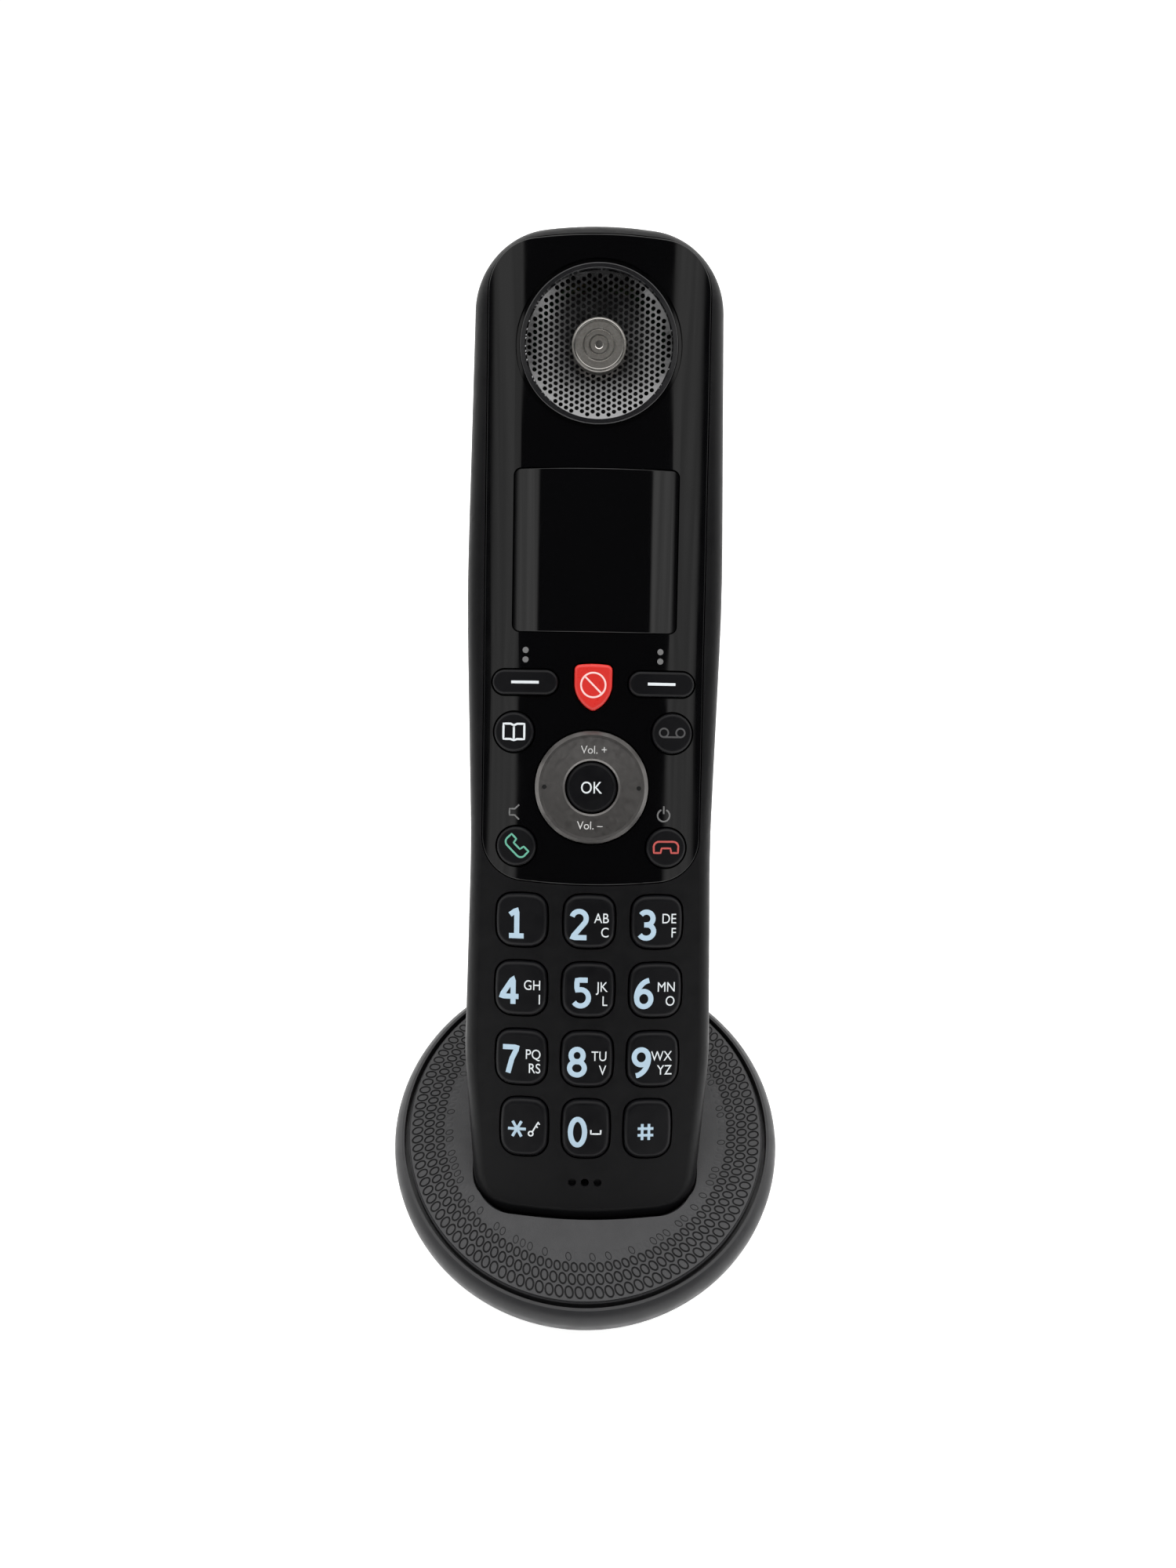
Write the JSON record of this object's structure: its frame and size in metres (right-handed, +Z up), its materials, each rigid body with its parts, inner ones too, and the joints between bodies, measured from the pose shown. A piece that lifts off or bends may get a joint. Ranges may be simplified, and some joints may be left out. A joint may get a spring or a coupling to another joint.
{
  "type": "cordless phone with base",
  "caption": "Cordless telephone handset with keypad, display and round navigation key, standing in a round sloping charging base with sprung contacts.",
  "frame": {"origin": "on the underside of the foot mat, below the centre of the base's round top plate", "axes": "+Z up, front (keys and display) towards -Y, +X to the right of someone facing the keys"},
  "size_m": [0.0748, 0.1313, 0.164],
  "materials": {
    "housing": "fine matte",
    "panel": "gloss",
    "window": "gloss",
    "keys": "satin",
    "call_block": "satin",
    "nav_metal": "satin",
    "grille": "satin",
    "badge": "fine blasted",
    "base_plate": "fine grain",
    "base_rim": "matte",
    "cover": "matte",
    "rubber": "matte",
    "silicone": "matte",
    "board": "solder mask",
    "electronics": "matte",
    "module": "satin",
    "steel": "plated",
    "ballast": "plain",
    "contact": "plated",
    "cell": "printed sleeve"
  },
  "bodies": {
    "base": {"base_rim_shell": "base_rim", "base_top_plate": "base_plate", "base_bottom_cover": "cover", "base_foot_mat": "rubber", "base_ballast": "ballast", "base_charge_board": "board", "base_power_inlet": "electronics", "base_screws": "steel", "contact_spring_left": "steel", "contact_spring_right": "steel"},
    "contact_pin_left": {"contact_pin_left": "contact"},
    "contact_pin_right": {"contact_pin_right": "contact"},
    "handset": {"handset_back_cover": "housing", "handset_front_housing": "housing", "handset_front_panel": "panel", "earpiece_ring": "panel", "earpiece_grille": "grille", "earpiece_badge": "badge", "earpiece_receiver": "electronics", "display_window": "window", "display_module": "module", "main_board": "board", "keypad_mat": "silicone", "dome_sheet": "steel", "microphone": "module", "rear_speaker": "electronics", "antenna_strip": "contact", "battery_cell_left": "cell", "battery_cell_right": "cell", "battery_bridge_contact": "contact", "battery_terminal_plus": "contact", "battery_terminal_minus": "contact", "charge_contact_left": "contact", "charge_contact_right": "contact", "handset_screws": "steel"},
    "battery_door": {"battery_door": "housing"},
    "key_1": {"key_1": "keys"},
    "key_2": {"key_2": "keys"},
    "key_3": {"key_3": "keys"},
    "key_4": {"key_4": "keys"},
    "key_5": {"key_5": "keys"},
    "key_6": {"key_6": "keys"},
    "key_7": {"key_7": "keys"},
    "key_8": {"key_8": "keys"},
    "key_9": {"key_9": "keys"},
    "key_star": {"key_star": "keys"},
    "key_0": {"key_0": "keys"},
    "key_hash": {"key_hash": "keys"},
    "soft_key_left": {"soft_key_left": "keys"},
    "soft_key_right": {"soft_key_right": "keys"},
    "call_block_key": {"call_block_key": "call_block"},
    "phonebook_key": {"phonebook_key": "keys"},
    "voicemail_key": {"voicemail_key": "keys"},
    "talk_key": {"talk_key": "keys"},
    "end_key": {"end_key": "keys"},
    "ok_key": {"ok_key": "keys"},
    "nav_web": {"nav_web": "electronics"},
    "nav_ring": {"nav_ring": "nav_metal"}
  },
  "joints": [
    {"name": "handset_lift", "type": "slide", "parent": "base", "child": "handset", "axis": [0, 0.5299, 0.848], "range_m": [0, 0.04]},
    {"name": "contact_pin_left_press", "type": "slide", "parent": "base", "child": "contact_pin_left", "axis": [0, 0, 1], "range_m": [-0.0012, 0], "stiffness_N_per_m": 500, "deforming": ["contact_spring_left"]},
    {"name": "contact_pin_right_press", "type": "slide", "parent": "base", "child": "contact_pin_right", "axis": [0, 0, 1], "range_m": [-0.0012, 0], "stiffness_N_per_m": 500, "deforming": ["contact_spring_right"]},
    {"name": "battery_door_lift", "type": "slide", "parent": "handset", "child": "battery_door", "axis": [0, 0.848, -0.5299], "range_m": [0, 0.005]},
    {"name": "key_1_press", "type": "slide", "parent": "handset", "child": "key_1", "axis": [0, 0.848, -0.5299], "range_m": [0, 0.0008], "stiffness_N_per_m": 2000},
    {"name": "key_2_press", "type": "slide", "parent": "handset", "child": "key_2", "axis": [0, 0.848, -0.5299], "range_m": [0, 0.0008], "stiffness_N_per_m": 2000},
    {"name": "key_3_press", "type": "slide", "parent": "handset", "child": "key_3", "axis": [0, 0.848, -0.5299], "range_m": [0, 0.0008], "stiffness_N_per_m": 2000},
    {"name": "key_4_press", "type": "slide", "parent": "handset", "child": "key_4", "axis": [0, 0.848, -0.5299], "range_m": [0, 0.0008], "stiffness_N_per_m": 2000},
    {"name": "key_5_press", "type": "slide", "parent": "handset", "child": "key_5", "axis": [0, 0.848, -0.5299], "range_m": [0, 0.0008], "stiffness_N_per_m": 2000},
    {"name": "key_6_press", "type": "slide", "parent": "handset", "child": "key_6", "axis": [0, 0.848, -0.5299], "range_m": [0, 0.0008], "stiffness_N_per_m": 2000},
    {"name": "key_7_press", "type": "slide", "parent": "handset", "child": "key_7", "axis": [0, 0.848, -0.5299], "range_m": [0, 0.0008], "stiffness_N_per_m": 2000},
    {"name": "key_8_press", "type": "slide", "parent": "handset", "child": "key_8", "axis": [0, 0.848, -0.5299], "range_m": [0, 0.0008], "stiffness_N_per_m": 2000},
    {"name": "key_9_press", "type": "slide", "parent": "handset", "child": "key_9", "axis": [0, 0.848, -0.5299], "range_m": [0, 0.0008], "stiffness_N_per_m": 2000},
    {"name": "key_star_press", "type": "slide", "parent": "handset", "child": "key_star", "axis": [0, 0.848, -0.5299], "range_m": [0, 0.0008], "stiffness_N_per_m": 2000},
    {"name": "key_0_press", "type": "slide", "parent": "handset", "child": "key_0", "axis": [0, 0.848, -0.5299], "range_m": [0, 0.0008], "stiffness_N_per_m": 2000},
    {"name": "key_hash_press", "type": "slide", "parent": "handset", "child": "key_hash", "axis": [0, 0.848, -0.5299], "range_m": [0, 0.0008], "stiffness_N_per_m": 2000},
    {"name": "soft_key_left_press", "type": "slide", "parent": "handset", "child": "soft_key_left", "axis": [0, 0.848, -0.5299], "range_m": [0, 0.0008], "stiffness_N_per_m": 2000},
    {"name": "soft_key_right_press", "type": "slide", "parent": "handset", "child": "soft_key_right", "axis": [0, 0.848, -0.5299], "range_m": [0, 0.0008], "stiffness_N_per_m": 2000},
    {"name": "call_block_key_press", "type": "slide", "parent": "handset", "child": "call_block_key", "axis": [0, 0.848, -0.5299], "range_m": [0, 0.0008], "stiffness_N_per_m": 2000},
    {"name": "phonebook_key_press", "type": "slide", "parent": "handset", "child": "phonebook_key", "axis": [0, 0.848, -0.5299], "range_m": [0, 0.0008], "stiffness_N_per_m": 2000},
    {"name": "voicemail_key_press", "type": "slide", "parent": "handset", "child": "voicemail_key", "axis": [0, 0.848, -0.5299], "range_m": [0, 0.0008], "stiffness_N_per_m": 2000},
    {"name": "talk_key_press", "type": "slide", "parent": "handset", "child": "talk_key", "axis": [0, 0.848, -0.5299], "range_m": [0, 0.0008], "stiffness_N_per_m": 2000},
    {"name": "end_key_press", "type": "slide", "parent": "handset", "child": "end_key", "axis": [0, 0.848, -0.5299], "range_m": [0, 0.0008], "stiffness_N_per_m": 2000},
    {"name": "ok_key_press", "type": "slide", "parent": "handset", "child": "ok_key", "axis": [0, 0.848, -0.5299], "range_m": [0, 0.0008], "stiffness_N_per_m": 2000},
    {"name": "nav_rock_up_down", "type": "hinge", "parent": "handset", "child": "nav_web", "pos_m": [0, 0.02497, 0.07958], "axis": [1, 0, 0], "range_deg": [-3.5, 3.5], "stiffness_Nm_per_rad": 0.26},
    {"name": "nav_rock_left_right", "type": "hinge", "parent": "nav_web", "child": "nav_ring", "pos_m": [0, 0.02497, 0.07958], "axis": [0, 0.5299, 0.848], "range_deg": [-3.5, 3.5], "stiffness_Nm_per_rad": 0.26}
  ]
}
